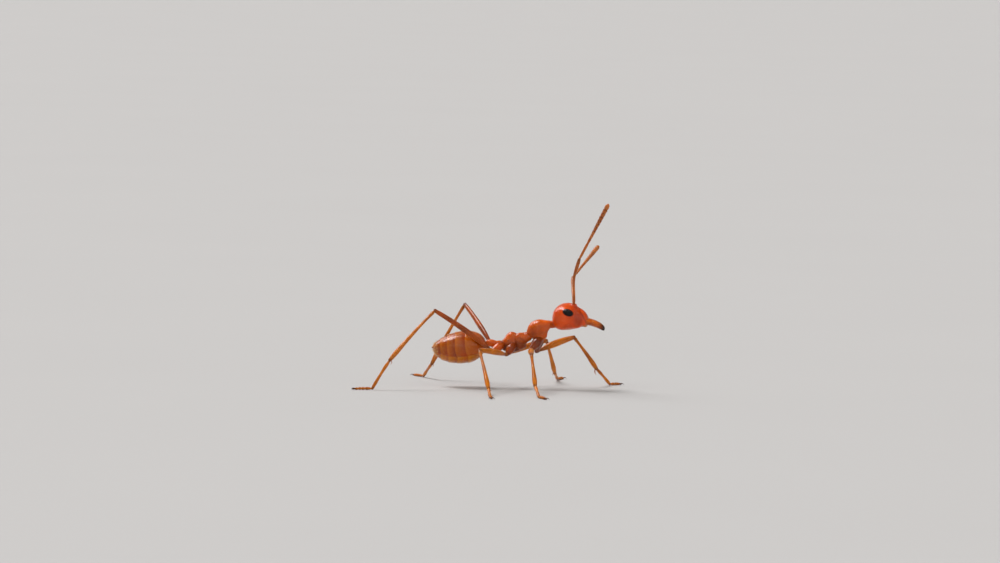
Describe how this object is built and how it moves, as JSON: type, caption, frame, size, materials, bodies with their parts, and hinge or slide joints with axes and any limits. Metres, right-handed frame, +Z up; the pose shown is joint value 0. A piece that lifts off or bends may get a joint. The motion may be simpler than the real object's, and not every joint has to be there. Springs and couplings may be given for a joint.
{
  "type": "weaver ant, still life-size model",
  "caption": "Still life-size model of a standing weaver ant worker: head with raised antennae and closed mandibles, narrow waist, oval gaster, long slender legs on small foot flats.",
  "frame": {"origin": "on the floor, under the middle of the whole model's box", "axes": "+X the way the ant faces, +Y its left side, +Z up"},
  "size_m": [0.015, 0.0138, 0.0104],
  "materials": {
    "head_cuticle": "smooth glossy orange-red cuticle, slightly translucent, finely granular, with fine pale hairs",
    "trunk_cuticle": "glossy orange-red cuticle, slightly translucent, finely granular",
    "gaster_cuticle": "glossy orange-brown overlapping plates with paler hind edges and fine pale down",
    "leg_cuticle": "glossy amber, translucent, with fine short hairs",
    "antenna_cuticle": "satin amber-brown with dense fine down towards the tip",
    "mandible_cuticle": "glossy red-brown, darkening to nearly black teeth",
    "eye_facets": "glossy black with a very fine honeycomb of facets"
  },
  "bodies": {
    "root": {"head": "head_cuticle", "neck": "trunk_cuticle", "eye_left": "eye_facets", "eye_right": "eye_facets", "mandible_left": "mandible_cuticle", "mandible_right": "mandible_cuticle", "antenna_scape_left": "antenna_cuticle", "antenna_scape_right": "antenna_cuticle", "antenna_funiculus_left": "antenna_cuticle", "antenna_funiculus_right": "antenna_cuticle", "pronotum": "trunk_cuticle", "mesothorax": "trunk_cuticle", "propodeum": "trunk_cuticle", "petiole": "trunk_cuticle", "gaster": "gaster_cuticle", "coxa_front_left": "leg_cuticle", "femur_front_left": "leg_cuticle", "tibia_front_left": "leg_cuticle", "tarsus_front_left": "leg_cuticle", "coxa_front_right": "leg_cuticle", "femur_front_right": "leg_cuticle", "tibia_front_right": "leg_cuticle", "tarsus_front_right": "leg_cuticle", "coxa_middle_left": "leg_cuticle", "femur_middle_left": "leg_cuticle", "tibia_middle_left": "leg_cuticle", "tarsus_middle_left": "leg_cuticle", "coxa_middle_right": "leg_cuticle", "femur_middle_right": "leg_cuticle", "tibia_middle_right": "leg_cuticle", "tarsus_middle_right": "leg_cuticle", "coxa_hind_left": "leg_cuticle", "femur_hind_left": "leg_cuticle", "tibia_hind_left": "leg_cuticle", "tarsus_hind_left": "leg_cuticle", "coxa_hind_right": "leg_cuticle", "femur_hind_right": "leg_cuticle", "tibia_hind_right": "leg_cuticle", "tarsus_hind_right": "leg_cuticle"}
  },
  "joints": []
}
